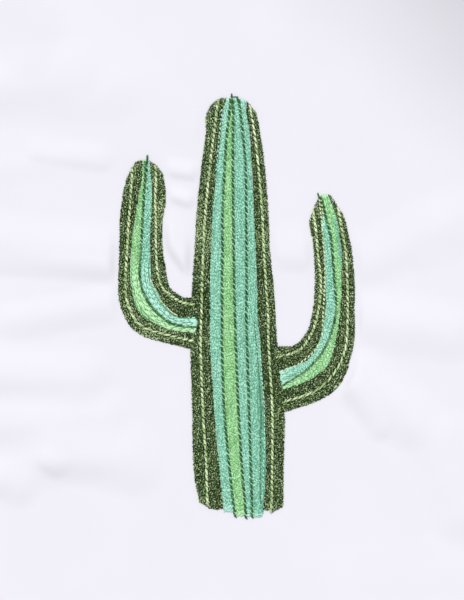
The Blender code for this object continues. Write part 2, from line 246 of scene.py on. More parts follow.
# Cuts across a limb: where the middle lies, the width, and how far across it each inner seam
# crosses, from 0 at the first edge to 1 at the second.
TRUNK_SEAMS = ("left_edge", "left_pale", "left_join", "left_line", "middle_line", "right_line",
               "right_join", "right_pale", "right_edge")
TRUNK_CUTS = (
    ((-1.0, 83.5), 20.9, (0.28, 0.425, 0.525, 0.56, 0.675, 0.82, 0.87)),
    ((-0.8, 77.1), 20.8, (0.215, 0.34, 0.48, 0.56, 0.70, 0.815, 0.90)),
    ((0.1, 69.7), 21.9, (0.15, 0.285, 0.40, 0.51, 0.69, 0.81, 0.90)),
    ((0.3, 55.4), 25.8, (0.13, 0.24, 0.37, 0.50, 0.70, 0.795, 0.90)),
    ((0.0, 34.9), 29.5, (0.12, 0.22, 0.365, 0.515, 0.695, 0.80, 0.915)),
    ((-0.15, 21.6), 30.6, (0.115, 0.22, 0.375, 0.525, 0.695, 0.815, 0.925)),
    ((0.1, 8.2), 33.0, (0.12, 0.22, 0.37, 0.52, 0.675, 0.80, 0.91)),
    ((0.3, -5.9), 34.4, (0.12, 0.225, 0.37, 0.525, 0.66, 0.79, 0.915)),
    ((0.6, -18.5), 35.5, (0.115, 0.23, 0.365, 0.525, 0.655, 0.805, 0.90)),
    ((2.4, -45.1), 37.6, (0.115, 0.24, 0.35, 0.505, 0.62, 0.78, 0.87)),
    ((2.5, -67.7), 36.7, (0.14, 0.285, 0.40, 0.54, 0.64, 0.81, 0.875)),
    ((3.6, -81.3), 34.3, (0.095, 0.275, 0.405, 0.545, 0.63, 0.775, 0.865)),
    ((4.0, -89.4), 33.0, (0.10, 0.275, 0.42, 0.55, 0.625, 0.745, 0.84)),
)
ARM_SEAMS = ("outer_edge", "outer_pale", "outer_join", "line", "inner_join", "inner_pale",
             "inner_edge")
LEFT_ARM_CUTS = (
    ((-35.6, 58.0), 13.7, (0.065, 0.435, 0.51, 0.61, 0.775)),
    ((-35.7, 52.5), 14.4, (0.125, 0.435, 0.51, 0.655, 0.80)),
    ((-36.2, 43.1), 17.5, (0.18, 0.375, 0.50, 0.685, 0.76)),
    ((-37.5, 32.8), 17.2, (0.21, 0.35, 0.54, 0.735, 0.855)),
    ((-37.6, 22.6), 17.5, (0.185, 0.28, 0.515, 0.72, 0.855)),
    ((-37.0, 11.5), 19.3, (0.145, 0.235, 0.445, 0.68, 0.825)),
    ((-36.7, 7.4), 20.2, (0.145, 0.255, 0.46, 0.67, 0.845)),
    ((-36.2, 3.3), 21.1, (0.14, 0.28, 0.49, 0.75, 0.88)),
    ((-34.9, -0.2), 21.9, (0.14, 0.27, 0.515, 0.755, 0.90)),
    ((-32.5, -3.5), 22.7, (0.135, 0.30, 0.52, 0.715, 0.915)),
    ((-25.6, -6.9), 20.3, (0.16, 0.275, 0.425, 0.60, 0.90)),
    ((-21.6, -8.1), 19.7, (0.16, 0.29, 0.41, 0.58, 0.89)),
    ((-17.2, -8.9), 20.4, (0.16, 0.315, 0.43, 0.62, 0.88)),
)
RIGHT_ARM_CUTS = (
    ((38.0, 44.0), 11.4, (0.135, 0.365, 0.69, 0.715, 0.895)),
    ((38.2, 37.7), 12.2, (0.075, 0.235, 0.575, 0.60, 0.915)),
    ((38.9, 32.0), 14.6, (0.13, 0.215, 0.505, 0.675, 0.845)),
    ((40.1, 26.7), 14.5, (0.14, 0.24, 0.505, 0.705, 0.89)),
    ((41.1, 20.5), 15.5, (0.16, 0.27, 0.52, 0.735, 0.895)),
    ((41.9, 8.2), 15.9, (0.175, 0.325, 0.515, 0.735, 0.855)),
    ((41.5, -4.1), 16.9, (0.16, 0.35, 0.455, 0.70, 0.875)),
    ((40.3, -14.4), 19.4, (0.155, 0.38, 0.525, 0.705, 0.905)),
    ((38.4, -19.4), 21.1, (0.135, 0.35, 0.54, 0.68, 0.90)),
    ((36.0, -24.2), 23.7, (0.18, 0.35, 0.565, 0.67, 0.885)),
    ((32.6, -28.0), 24.6, (0.18, 0.38, 0.565, 0.675, 0.90)),
    ((28.3, -30.2), 24.3, (0.155, 0.37, 0.525, 0.695, 0.90)),
    ((20.8, -31.6), 26.6, (0.155, 0.34, 0.415, 0.635, 0.845)),
)

# An end of a limb: how far its corners lie back, how full its curve is (a high power is blunt),
# how far across its foremost point lies, and how far the whole end slants.
TRUNK_TIP = (7.2, 3.4, 0.50, 0.0)
TRUNK_FOOT = (6.5, 1.8, 0.55, -3.4)
LEFT_ARM_TIP = (6.2, 2.6, 0.38, -1.0)
LEFT_ARM_FOOT = (0.0, 1.0, 0.50, 4.8)
RIGHT_ARM_TIP = (8.6, 2.3, 0.52, 1.0)
RIGHT_ARM_FOOT = (0.0, 1.0, 0.50, 1.0)

# How far the arms lap over the trunk, how much their stitches rise there, and how far before it
LEFT_ARM_LAP = 2.9
RIGHT_ARM_LAP = 1.8
LAP_RISE = 0.28
LAP_START = 2.0

# How finely a limb is measured along its length, and how far ahead its direction is taken
COURSE_STEP = 0.25
BED_STEPS = 4
LOOK_AHEAD = 3.0

# Runs of fill stitches: name, first seam, second seam, thread
TRUNK_RUNS = (
    ("dark_left_outer", "left_edge", "left_pale", "dark_green"),
    ("dark_left_inner", "left_pale", "left_join", "dark_green"),
    ("teal_left", "left_join", "left_line", "teal"),
    ("light_green", "left_line", "middle_line", "light_green"),
    ("teal_middle", "middle_line", "right_line", "teal"),
    ("teal_right", "right_line", "right_join", "teal"),
    ("dark_right_inner", "right_join", "right_pale", "dark_green"),
    ("dark_right_outer", "right_pale", "right_edge", "dark_green"),
)
ARM_RUNS = (
    ("dark_outer", "outer_edge", "outer_pale", "dark_green"),
    ("dark_beside_green", "outer_pale", "outer_join", "dark_green"),
    ("light_green", "outer_join", "line", "light_green"),
    ("teal", "line", "inner_join", "teal"),
    ("dark_beside_teal", "inner_join", "inner_pale", "dark_green"),
    ("dark_inner", "inner_pale", "inner_edge", "dark_green"),
)

# Lines of outline stitches: name, the seam that each lies along, its thread
TRUNK_LINES = (
    ("pale_line_left", "left_pale", "pale_green"),
    ("dark_line_left", "left_line", "deep_green"),
    ("dark_line_middle", "middle_line", "deep_green"),
    ("dark_line_right", "right_line", "deep_green"),
    ("pale_line_right", "right_pale", "pale_green"),
)
ARM_LINES = (
    ("pale_line_outer", "outer_pale", "pale_green"),
    ("dark_line", "line", "deep_green"),
    ("pale_line_inner", "inner_pale", "pale_green"),
)

# Soft folds in the cloth: both ends of the crest, the reach to its left and to its right when
# seen from the first end, and its height
FOLDS = (
    ((-91, 128), (-85, 105), 16, 16, 1.5),
    ((-86, 126), (-16, 73), 16, 16, 0.55),
    ((-107, 89), (-65, 97), 13, 16, 1.1),
    ((-108, 85), (-52, 85), 16, 15, 1.0),
    ((-94, 55), (-57, 60), 8, 9, 0.3),
    ((-111, 26), (-54, 18), 16, 9.5, 1.6),
    ((-111, 17), (-50, 12), 7.5, 6, 0.85),
    ((-90, -8), (-49, -1), 9.5, 10, 1.0),
    ((-65, -20), (-46, -28), 9, 9, 0.2),
    ((-112, -29), (-61, -32), 15, 13, 1.6),
    ((-111, -52), (-54, -48), 15, 14, 1.55),
    ((-72, -62), (-41, -69), 16, 13, 1.3),
    ((-111, -67), (-88, -77), 11, 9.5, 1.05),
    ((-76, -66), (-73, -68), 9, 5, 0.8),
    ((-109, -72), (-45, -59), 13, 14, 1.0),
    ((-80, 61), (-54, 57), 9, 5, 0.55),
    ((-33, 55), (-14, 52), 6, 4, 1.1),
    ((-39, 48), (-14, 40), 4.5, 3.8, 1.2),
    ((-30.5, 30), (-14.5, 10), 11, 4.5, 2.0),
    ((15, 19), (42, 18), 16, 8, 1.0),
    ((55, 16), (111, 42), 16, 13, 1.05),
    ((79, 16), (109, 29), 8.5, 6, 0.25),
    ((55, -7), (90, -13), 15, 15, 1.5),
    ((51, -31), (72, -48), 15, 15, 1.9),
    ((84, -58), (94, -86), 16, 16, 1.7),
    ((50, -36), (60, -52), 7, 7, 0.8),
)

# How far past the cactus the cloth stays flat, and over what distance the folds then rise
FLAT_MARGIN = 0.6
FOLD_RISE = 4.0
LIMB_SAMPLE_STEP = 2.0

# The cut edge's loose yarn ends: how far out, in, sideways and down they lie, and their distance
YARN_RADIUS = 0.11
YARN_ENDS = (0.4, 1.9)
YARN_ROOT = 0.6
YARN_LEAN = 0.35
YARN_DROP = 0.18
YARN_STEP = (0.5, 1.3)
YARN_CORNER_GAP = 0.5

# The white thread under the fills: how far inside the limb it keeps, and how uneven it is
UNDER_SPACING = 1.3
UNDER_STITCH = 2.8
UNDER_RADIUS = 0.08
UNDER_EDGE_GAP = 0.6
UNDER_END_GAP = 1.0
UNDER_FOOT_GAP = 0.5
UNDER_SHORTEST_ROW = 1.5
UNDER_DRIFT = 0.3

# The table's size and the lamp's place in metres, then the camera in millimetres: the point it
# looks down at, its distance from there, and the height of what it sees
TABLE_SIZE = 6
LAMP_PLACE = (-0.3, 1.3, 3.0)
LAMP_SPREAD = 0.22
LAMP_STRENGTH = 2.33
ROOM_STRENGTH = 0.47
CAMERA_TARGET = (-0.2, 0.6, 1.2)
CAMERA_DISTANCE = 900.0
CAMERA_VIEW = 246.0


# Outlines

def smooth(knots, values, places):
    """Values at places on a smooth curve through all the values, straight past its ends."""
    last = len(knots) - 1
    index = np.arange(last + 1)
    before, after = np.maximum(index - 1, 0), np.minimum(index + 1, last)
    slopes = (values[after] - values[before]) / (knots[after] - knots[before])[:, None]
    i = np.clip(np.searchsorted(knots, places) - 1, 0, last - 1)
    span = (knots[i + 1] - knots[i])[:, None]
    inside = np.clip(places, knots[0], knots[-1])
    t = (inside - knots[i])[:, None] / span
    bend = t * t * (3 - 2 * t)
    rise = t * (1 - t) * ((1 - t) * slopes[i] - t * slopes[i + 1]) * span
    end_slopes = np.where((places < knots[0])[:, None], slopes[0], slopes[-1])
    past = (places - inside)[:, None] * end_slopes
    return values[i] * (1 - bend) + values[i + 1] * bend + rise + past


class Path:
    """A smooth curve. A place along it is the distance from its start, in millimetres."""

    turn = 1

    def __init__(self, values):
        self.values = np.array(values, float)
        steps = np.linalg.norm(np.diff(self.values[:, :2], axis=0), axis=1)
        self.knots = np.concatenate([[0.0], np.cumsum(steps)])
        self.length = float(self.knots[-1])

    def read(self, places):
        return smooth(self.knots, self.values, np.atleast_1d(np.asarray(places, float)))

    def across(self, places):
        """Unit directions across the path, to its left, or to its right where turn is -1."""
        ahead = (self.read(places + LOOK_AHEAD) - self.read(places - LOOK_AHEAD))[:, :2]
        side = np.stack([-ahead[:, 1], ahead[:, 0]], axis=1) * self.turn
        return side / np.linalg.norm(side, axis=1)[:, None]

    def points(self, offsets, places):
        """The points that lie some millimetres to the side of the path."""
        places = np.atleast_1d(np.asarray(places, float))
        return self.read(places)[:, :2] + self.across(places) * np.reshape(offsets, (-1, 1))


class Limb(Path):
    """A limb of the cactus, from its tip to its foot, with seams along it."""

    def __init__(self, name, seams, cuts, tip, foot, lap, runs, lines, mirrored=False):
        super().__init__([(*middle, width, 0.0, *shares, 1.0) for middle, width, shares in cuts])
        self.name, self.seams, self.tip, self.foot, self.lap = name, seams, tip, foot, lap
        self.runs, self.lines = runs, lines
        self.turn = -1 if mirrored else 1

    def offsets(self, seam, places):
        """How far a seam lies from the middle, in millimetres."""
        found = self.read(places)
        return found[:, 2] * (found[:, 3 + self.seams.index(seam)] - 0.5)

    def room(self, offsets, places):
        """How far inside the limb's two ends each point lies, in millimetres along the limb."""
        shares = np.clip(offsets / self.read(places)[:, 2] + 0.5, 0, 1)
        from_tip = places - set_back(self.tip, shares)
        from_foot = self.length + self.lap - places - set_back(self.foot, shares)
        return np.minimum(from_tip, from_foot)

    def course(self):
        """Places all along the limb, past its foot where that laps over another limb."""
        return np.arange(0.0, self.length + self.lap + 0.01, COURSE_STEP)


def set_back(shape, shares):
    """How far an end of a limb lies back from its foremost point, some share of the way across."""
    depth, power, foremost, slant = shape
    reach = np.where(shares < foremost, foremost, 1 - foremost)
    return depth * np.abs((shares - foremost) / reach) ** power + slant * (shares - 0.5)


TRUNK = Limb("trunk", TRUNK_SEAMS, TRUNK_CUTS, TRUNK_TIP, TRUNK_FOOT, 0.0, TRUNK_RUNS, TRUNK_LINES)
LEFT_ARM = Limb("left_arm", ARM_SEAMS, LEFT_ARM_CUTS, LEFT_ARM_TIP, LEFT_ARM_FOOT, LEFT_ARM_LAP,
                ARM_RUNS, ARM_LINES)
RIGHT_ARM = Limb("right_arm", ARM_SEAMS, RIGHT_ARM_CUTS, RIGHT_ARM_TIP, RIGHT_ARM_FOOT,
                 RIGHT_ARM_LAP, ARM_RUNS, ARM_LINES, mirrored=True)
LIMBS = (TRUNK, LEFT_ARM, RIGHT_ARM)


# Finishes

def new_material(name, roughness, specular=0.5, sheen=0.0, sheen_roughness=0.5):
    material = bpy.data.materials.new(name)
    material.use_nodes = True
    shader = material.node_tree.nodes["Principled BSDF"]
    shader.inputs["Roughness"].default_value = roughness
    shader.inputs["Specular IOR Level"].default_value = specular
    shader.inputs["Sheen Weight"].default_value = sheen
    shader.inputs["Sheen Roughness"].default_value = sheen_roughness
    return material, material.node_tree, shader


def new_node(tree, kind, values):
    """A node of some kind, with values for its inputs by their names."""
    node = tree.nodes.new(f"ShaderNode{kind}")
    for name, value in values.items():
        node.inputs[name].default_value = value
    return node


def new_math(tree, operation, first, second):
    """The sum or the product of two outputs."""
    node = new_node(tree, "Math", {})
    node.operation = operation
    tree.links.new(first, node.inputs[0])
    tree.links.new(second, node.inputs[1])
    return node


def add_colour(tree, shader, colour, shading):
    """Gives a shader a colour that is multiplied by some shading."""
    tint = tree.nodes.new("ShaderNodeMix")
    tint.data_type = "RGBA"
    tint.blend_type = "MULTIPLY"
    tint.inputs["Factor"].default_value = 1.0
    tree.links.new(colour, tint.inputs["A"])
    tree.links.new(shading, tint.inputs["B"])
    tree.links.new(tint.outputs["Result"], shader.inputs["Base Color"])


def add_relief(tree, shader, height, strength):
    bump = new_node(tree, "Bump", {"Strength": strength, "Distance": RELIEF * MM})
    tree.links.new(height, bump.inputs["Height"])
    tree.links.new(bump.outputs["Normal"], shader.inputs["Normal"])


def thread_material(name, deep, body, bright, grain_size=LIGHT_GRAIN, contrast=1.5):
    """Satin thread: each stitch has a tone of its own, and painted shade darkens its ends where
    they dive.
    """
    material, tree, shader = new_material(name, 0.4, 0.22, 0.03, 0.4)
    links = tree.links
    place = new_node(tree, "TexCoord", {})
    shade = new_node(tree, "Attribute", {})
    shade.attribute_name = "shade"
    grain_map = new_node(tree, "Mapping", {"Scale": [1.0 / (size * MM) for size in grain_size]})
    links.new(place.outputs["Object"], grain_map.inputs["Vector"])
    fibre_and_glint_noise = new_node(tree, "TexNoise", {"Scale": 1.0, "Detail": 1.0})
    links.new(grain_map.outputs["Vector"], fibre_and_glint_noise.inputs["Vector"])
    grain = new_node(tree, "MapRange", {"To Min": -contrast, "To Max": contrast})
    grain.clamp = False
    links.new(fibre_and_glint_noise.outputs["Fac"], grain.inputs["Value"])
    tone = new_math(tree, "ADD", shade.outputs["Fac"], grain.outputs["Result"])
    # The bright end of the ramp is partly painted highlight: the thread's colour with the sheen's
    # glint added.
    ramp = new_node(tree, "ValToRGB", {})
    ramp.color_ramp.elements[0].color = (*deep, 1)
    ramp.color_ramp.elements[1].color = (*bright, 1)
    ramp.color_ramp.elements.new(0.5).color = (*body, 1)
    links.new(tone.outputs["Value"], ramp.inputs["Fac"])
    # Painted shade: the colour darkens the lower the thread lies, for the shade in the gaps between
    # stitches.
    height = new_node(tree, "SeparateXYZ", {})
    links.new(place.outputs["Object"], height.inputs[0])
    depth = new_node(tree, "MapRange", {"From Min": 0.75 * MM, "From Max": 1.35 * MM,
                                        "To Min": 0.65, "To Max": 1.0})
    links.new(height.outputs["Z"], depth.inputs["Value"])
    add_colour(tree, shader, ramp.outputs["Color"], depth.outputs["Result"])
    twist_map = new_node(tree, "Mapping", {"Rotation": (0, 0, math.radians(35))})
    twist = new_node(tree, "TexWave", {"Scale": 2.0, "Distortion": 1.0})
    links.new(place.outputs["UV"], twist_map.inputs["Vector"])
    links.new(twist_map.outputs["Vector"], twist.inputs["Vector"])
    add_relief(tree, shader, twist.outputs["Fac"], 0.35)
    return material


def cloth_material():
    """Matt woven cotton: a fine plain weave, a little uneven in tone, with painted shade at its
    upper right.
    """
    material, tree, shader = new_material("white_cotton", 0.85, 0.25, 0.1)
    links = tree.links
    place = new_node(tree, "TexCoord", {})
    cloud = new_node(tree, "TexNoise", {"Scale": 25.0, "Detail": 3.0})
    links.new(place.outputs["Object"], cloud.inputs["Vector"])
    tone = new_node(tree, "ValToRGB", {})
    tone.color_ramp.elements[0].position = 0.3
    tone.color_ramp.elements[0].color = (0.770, 0.760, 0.823, 1)
    tone.color_ramp.elements[1].position = 0.7
    tone.color_ramp.elements[1].color = (0.788, 0.779, 0.841, 1)
    links.new(cloud.outputs["Fac"], tone.inputs["Fac"])
    # Painted shade: the colour darkens towards the upper right corner, for the shade that falls
    # there.
    corner = new_node(tree, "VectorMath", {})
    corner.operation = "DOT_PRODUCT"
    corner.inputs[1].default_value = (1, 1, 0)
    links.new(place.outputs["Object"], corner.inputs[0])
    painted_corner_shade = new_node(tree, "MapRange", {"From Min": 0.12, "From Max": 0.26,
                                       "To Min": 1.0, "To Max": 0.73})
    painted_corner_shade.interpolation_type = "SMOOTHSTEP"
    links.new(corner.outputs["Value"], painted_corner_shade.inputs["Value"])
    add_colour(tree, shader, tone.outputs["Color"], painted_corner_shade.outputs["Result"])
    yarns = []
    for direction in ("X", "Y"):
        yarn = new_node(tree, "TexWave", {"Scale": 1000.0, "Distortion": 0.6, "Detail Scale": 2.0})
        yarn.bands_direction = direction
        links.new(place.outputs["Object"], yarn.inputs["Vector"])
        yarns.append(yarn.outputs["Fac"])
    weave = new_math(tree, "MULTIPLY", *yarns)
    add_relief(tree, shader, weave.outputs["Value"], 0.25)
    return material


# Each thread's bright colour is partly painted highlight, its own colour with the sheen's glint
# added.
THREADS = {
    "dark_green": thread_material("dark_green_thread", (0.005, 0.026, 0.001), (0.075, 0.150, 0.030),
                                  (0.60, 0.74, 0.43), DARK_GRAIN, 2.4),
    "deep_green": thread_material("deep_green_thread", (0.014, 0.070, 0.012), (0.036, 0.140, 0.036),
                                  (0.18, 0.36, 0.17)),
    "pale_green": thread_material("pale_green_thread", (0.28, 0.42, 0.16), (0.60, 0.78, 0.40),
                                  (0.92, 1.0, 0.72)),
    "light_green": thread_material("light_green_thread", (0.16, 0.42, 0.15), (0.40, 0.85, 0.38),
                                   (0.66, 1.0, 0.62)),
    "teal": thread_material("teal_thread", (0.14, 0.40, 0.28), (0.37, 0.84, 0.61),
                            (0.62, 1.0, 0.86)),
    "white": cloth_material(),
}


# The stitch that every run repeats

def deselect_all():
    for obj in bpy.context.selected_objects:
        obj.select_set(False)


def model_stitch():
    """One stitch, a unit long and a unit in radius: a bar along X with tapered ends."""
    deselect_all()
    bpy.ops.mesh.primitive_cylinder_add(vertices=STITCH_SIDES, radius=1, depth=1,
                                        rotation=(0, math.pi / 2, 0))
    bar = bpy.context.object
    bpy.ops.object.transform_apply(location=True, rotation=True, scale=True)
    bpy.ops.object.mode_set(mode="EDIT")
    for cut in (-TAPER_FROM, 0.0, TAPER_FROM):
        bpy.ops.mesh.select_all(action="SELECT")
        bpy.ops.mesh.bisect(plane_co=(cut, 0, 0), plane_no=(1, 0, 0))
    bpy.ops.mesh.select_all(action="DESELECT")
    bpy.ops.object.mode_set(mode="OBJECT")
    for vertex in bar.data.vertices:
        vertex.select = abs(vertex.co.x) > (0.5 + TAPER_FROM) / 2
    bpy.ops.object.mode_set(mode="EDIT")
    bpy.ops.mesh.select_mode(type="VERT")
    bpy.ops.transform.resize(value=(1, TAPER, TAPER), center_override=(0, 0, 0))
    bpy.ops.object.mode_set(mode="OBJECT")
    mesh = bar.data
    points = np.array([vertex.co for vertex in mesh.vertices])
    faces = [tuple(polygon.vertices) for polygon in mesh.polygons]
    marks = np.array([mark.uv for mark in mesh.uv_layers.active.data])
    bpy.data.objects.remove(bar)
    return points, faces, marks


STITCH_POINTS, STITCH_FACES, STITCH_MARKS = model_stitch()


class Sewing:
    """Stitches gathered for one piece: both ends, foot and crest heights, radius and tone."""

    def __init__(self):
        self.rows = []

    def stitch(self, start, end, crest, radius=THREAD_RADIUS, tone=0.5, foot=STITCH_FOOT):
        self.rows.append((start[0], start[1], end[0], end[1], foot, crest - radius, radius, tone))

    def arrays(self):
        """All the stitches' points in millimetres, their faces, marks and tones."""
        rows = np.array(self.rows)[:, :, None]
        start, end = rows[:, 0:2], rows[:, 2:4]
        foot, crest, radius, tone = (rows[:, k] for k in range(4, 8))
        ahead = end - start
        length = np.linalg.norm(ahead, axis=1)
        along = STITCH_POINTS[:, 0] + 0.5
        side = STITCH_POINTS[:, 1] * radius
        rise = np.sin(np.pi * np.clip(along, 0.0, 1.0)) ** STITCH_ROUNDING
        x = start[:, 0] + ahead[:, 0] * along - ahead[:, 1] / length * side
        y = start[:, 1] + ahead[:, 1] * along + ahead[:, 0] / length * side
        z = foot + (crest - foot) * rise + STITCH_POINTS[:, 2] * radius * THREAD_FLATNESS
        points = np.stack([x, y, z], axis=2).reshape(-1, 3)
        count, size = len(rows), len(STITCH_POINTS)
        faces = []
        for k in range(count):
            faces += [tuple(v + k * size for v in face) for face in STITCH_FACES]
        marks = np.tile(STITCH_MARKS, (count, 1))
        marks[:, 1] *= np.repeat(length[:, 0], len(STITCH_MARKS))
        return points, faces, marks, np.repeat(tone[:, 0], size)


def make_piece(name, points, faces, marks, shades, thread, node=None):
    """A piece of thread work that rides on the panel, in place of its plain solid if it has one."""
    mesh = bpy.data.meshes.new(name)
    mesh.from_pydata((points * MM).tolist(), [], faces)
    layer = mesh.uv_layers.new(name="along_thread")
    layer.data.foreach_set("uv", marks.ravel())
    shade = mesh.attributes.new("shade", "FLOAT", "POINT")
    shade.data.foreach_set("value", shades)
    mesh.shade_smooth()
    mesh.materials.append(THREADS[thread])
    obj = bpy.data.objects.new(name, mesh)
    bpy.context.scene.collection.objects.link(obj)
    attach(obj, "root")
    if node:
        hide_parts(node)
    return obj


def long_share(limb, thread, places):
    """How far a run's stitches are long ones at some places, from 0, not at all, to 1."""
    share = np.zeros(len(places))
    if thread in ("light_green", "teal"):
        for first, last in LONG_STRETCHES[limb.name]:
            inside = np.minimum(places - first, last - places)
            share = np.maximum(share, np.clip(inside / LONG_FADE, 0, 1))
    return share


def needle_places(start, stop, length_at):
    """Places of the needle holes along a row: uneven steps between its two ends."""
    holes = [start]
    place = start + length_at(start) * rng.uniform(SHORTEST_SHARE, 1.0)
    while place < stop - SHORTEST_SHARE * length_at(place):
        holes.append(place)
        place += length_at(place) * rng.uniform(1 - UNEVENNESS, 1 + UNEVENNESS)
    return np.array(holes + [stop])


def stretches(inside):
    """First and last index of each unbroken stretch."""
    edges = np.flatnonzero(np.diff(np.concatenate([[0], inside.astype(int), [0]])))
    return zip(edges[::2], edges[1::2] - 1)


def trimmed_length(limb, name):
    """Where a run of fill stitches ends at the latest, in millimetres from the tip."""
    return limb.length + limb.lap - FOOT_TRIMS.get(f"{limb.name}_{name}", 0.0)


def bed(limb, name, first, second):
    """The padding under a run, a low ribbon from end to end: points and faces."""
    places = limb.course()[::BED_STEPS]
    a, b = limb.offsets(first, places) + BED_INSET, limb.offsets(second, places) - BED_INSET
    room = np.minimum(limb.room((a + b) / 2, places), trimmed_length(limb, name) - places)
    kept = (b - a > BED_LEAST_WIDTH) & (room > BED_END_GAP)
    places = places[kept]
    width = limb.read(places[:1])[0, 2]
    sides = []
    for side in (a[kept], b[kept]):
        share = np.clip(side[:1] / width + 0.5, 0, 1)
        back = set_back(limb.tip, share)[0] + BED_TIP_GAP
        sides.append(limb.points(side, np.maximum(places, back)))
    left, right = sides
    points = []
    for i in range(len(places)):
        for side, z in ((left, BED_FOOT), (left, BED_TOP), (right, BED_TOP), (right, BED_FOOT)):
            points.append((*side[i], z))
    faces = [(0, 1, 2, 3)]
    for i in range(len(places) - 1):
        for k in range(4):
            j = (k + 1) % 4
            faces.append((4 * i + j, 4 * i + k, 4 * i + 4 + k, 4 * i + 4 + j))
    last = 4 * (len(places) - 1)
    faces.append((last + 3, last + 2, last + 1, last))
    return np.array(points), faces


def tones(thread, spots, room):
    """A tone for each stitch, from 0, deep, to 1, bright. Light threads whiten at their ends."""
    level, spread = TONES[thread]
    found = level + spread * rng.standard_normal(len(spots))
    # Painted glint: a few stitches are brightened at random, for the sheen's highlights.
    found += PAINTED_GLINT[thread] * (rng.uniform(0, 1, len(spots)) < PAINTED_GLINT_SHARE)
    if thread == "dark_green":
        for centre, reach, gain in TONE_PATCHES:
            off = np.linalg.norm(spots - centre, axis=1) / reach
            found += gain * np.clip(1 - off * off, 0, 1)
    else:
        found += END_WHITENING * np.clip(1 - room / WHITENING_REACH, 0, 1)
    return np.clip(found, 0, 1)


def paling(limb, name, thread, places, shift):
    """How much paler the stitches at some places of a run are than its thread's usual tone."""
    paler = np.zeros(len(places))
    run = f"{limb.name}_{name}"
    if thread == "dark_green":
        return paler + DARK_PALING.get(limb.name, 0.0) + DARK_PALING.get(run, 0.0)
    # Painted sheen: the light threads turn paler towards an arm's foot, where the rows lie across
    # the light.
    share = np.clip((places / limb.length - FOOT_SHEEN_FROM) / FOOT_SHEEN_REACH, 0, 1)
    paler += FOOT_PAINTED_SHEEN.get(run, 0.0) * share * share * (3 - 2 * share)
    if name == "teal_right":
        shade = TEAL_SHADE * np.clip((places - TEAL_SHADE_FROM) / TEAL_SHADE_REACH, 0, 1)
        paler -= TEAL_RIGHT_DARKER + shade * (shift > TEAL_SHADE_SIDE)
    if name in ("teal_left", "teal_right"):
        paler += TEAL_TIP_PALING * np.clip(1 - places / TEAL_TIP_REACH, 0, 1)
    return paler


def fill_crests(limb, holes, half, shift):
    """Crest heights along a row: a run is highest in its middle, and an arm's foot rises."""
    crown = 1 - (shift / np.maximum(half, CROWN_LEAST_HALF)) ** 2
    crown *= np.minimum(1, half / CROWN_FULL_HALF)
    crests = FILL_SHOULDER + (FILL_CREST - FILL_SHOULDER) * np.maximum(crown, 0)
    crests += rng.uniform(-CREST_SPREAD, CREST_SPREAD, len(crests))
    if limb.lap > 0:
        crests += LAP_RISE * np.clip((holes - limb.length) / LAP_START + 1, 0, 1)
    return crests


def fill_run(limb, name, first, second, thread):
    """A run of fill stitches between two seams, in rows along the limb."""
    sewing = Sewing()
    course = limb.course()
    a, b = limb.offsets(first, course), limb.offsets(second, course)
    middles, halves = (a + b) / 2, (b - a) / 2
    rows = max(1, math.ceil(2 * float(halves.max()) / ROW_SPACING))
    long_course = long_share(limb, thread, course)
    lengths = FILL_STITCH[thread] + (LONG_STITCH - FILL_STITCH[thread]) * long_course

    def length_at(place):
        return float(np.interp(place, course, lengths))

    for k in range(rows):
        shift = (k - (rows - 1) / 2) * ROW_SPACING
        streak = STREAKING * rng.standard_normal()
        reach = halves + rng.uniform(*EDGE_SPREAD)
        room = np.minimum(limb.room(middles + shift, course), trimmed_length(limb, name) - course)
        for i, j in stretches((abs(shift) < reach) & (room > 0)):
            if course[j] - course[i] < SHORTEST_ROW:
                continue
            start = course[i] - rng.uniform(0, ROW_END_SPREAD)
            stop = course[j] + rng.uniform(0, ROW_END_SPREAD)
            holes = needle_places(start, stop, length_at)
            drift = rng.uniform(-SIDE_DRIFT, SIDE_DRIFT, len(holes))
            spots = limb.points(np.interp(holes, course, middles) + shift + drift, holes)
            ends = holes[1:]
            shades = tones(thread, (spots[1:] + spots[:-1]) / 2, np.interp(ends, course, room))
            shades += paling(limb, name, thread, ends, shift)
            shades += streak * np.interp(ends, course, long_course)
            half = np.interp((ends + holes[:-1]) / 2, course, halves)
            crests = fill_crests(limb, ends, half, shift)
            feet = STITCH_FOOT + crests - crests.clip(max=FILL_CREST)
            for n, crest in enumerate(crests):
                sewing.stitch(spots[n], spots[n + 1], crest, tone=shades[n], foot=feet[n])
    return sewing


def fuzz(sewing, limb, seam, outward, thread):
    """Short stray loops along an edge of a limb, each from inside the edge to just past it."""
    course = limb.course()
    shown = course[limb.room(limb.offsets(seam, course), course) > FUZZ_END_GAP]
    well_inside = np.array([9.0])
    place = shown[0]
    while place < shown[-1]:
        back = rng.uniform(*FUZZ_LENGTH)
        places = np.array([place, place + back * rng.choice((-1, 1))])
        reach = np.array([rng.uniform(*FUZZ_INSIDE), -rng.uniform(*FUZZ_OUTSIDE)]) * outward
        ends = limb.points(limb.offsets(seam, places) + reach, places)
        tone = float(tones(thread, ends[:1], well_inside)[0])
        crest = rng.uniform(*FUZZ_CREST)
        sewing.stitch(*ends, crest, rng.uniform(*FUZZ_RADIUS), tone, FUZZ_FOOT)
        place += rng.uniform(*FUZZ_STEP)


def sew_line(sewing, path, offsets_of, start, stop, style, crest, paler=0.0, foot=STITCH_FOOT):
    """Outline stitches along a path: slanted threads side by side, each over the last one's end."""
    length, repeat, slant, sides, level, spread = LINE_STYLES[style]
    place = start
    while place < stop - LINE_LAST_SHARE * length:
        end = min(place + length * rng.uniform(*LINE_LENGTH_SPREAD), stop)
        places = np.array([place, end])
        offsets = offsets_of(places) + np.array([-slant, slant]) * path.turn
        tone = level + paler + spread * rng.standard_normal()
        for side in sides:
            spots = path.points(offsets + side, places + side * path.turn * LINE_STAGGER)
            tint = np.clip(tone + rng.uniform(-LINE_TONE_SPREAD, LINE_TONE_SPREAD), 0, 1)
            top = crest + rng.uniform(-LINE_CREST_SPREAD, LINE_CREST_SPREAD)
            sewing.stitch(*spots, top, LINE_RADIUS, tint, foot)
        place += repeat * rng.uniform(*LINE_REPEAT_SPREAD)


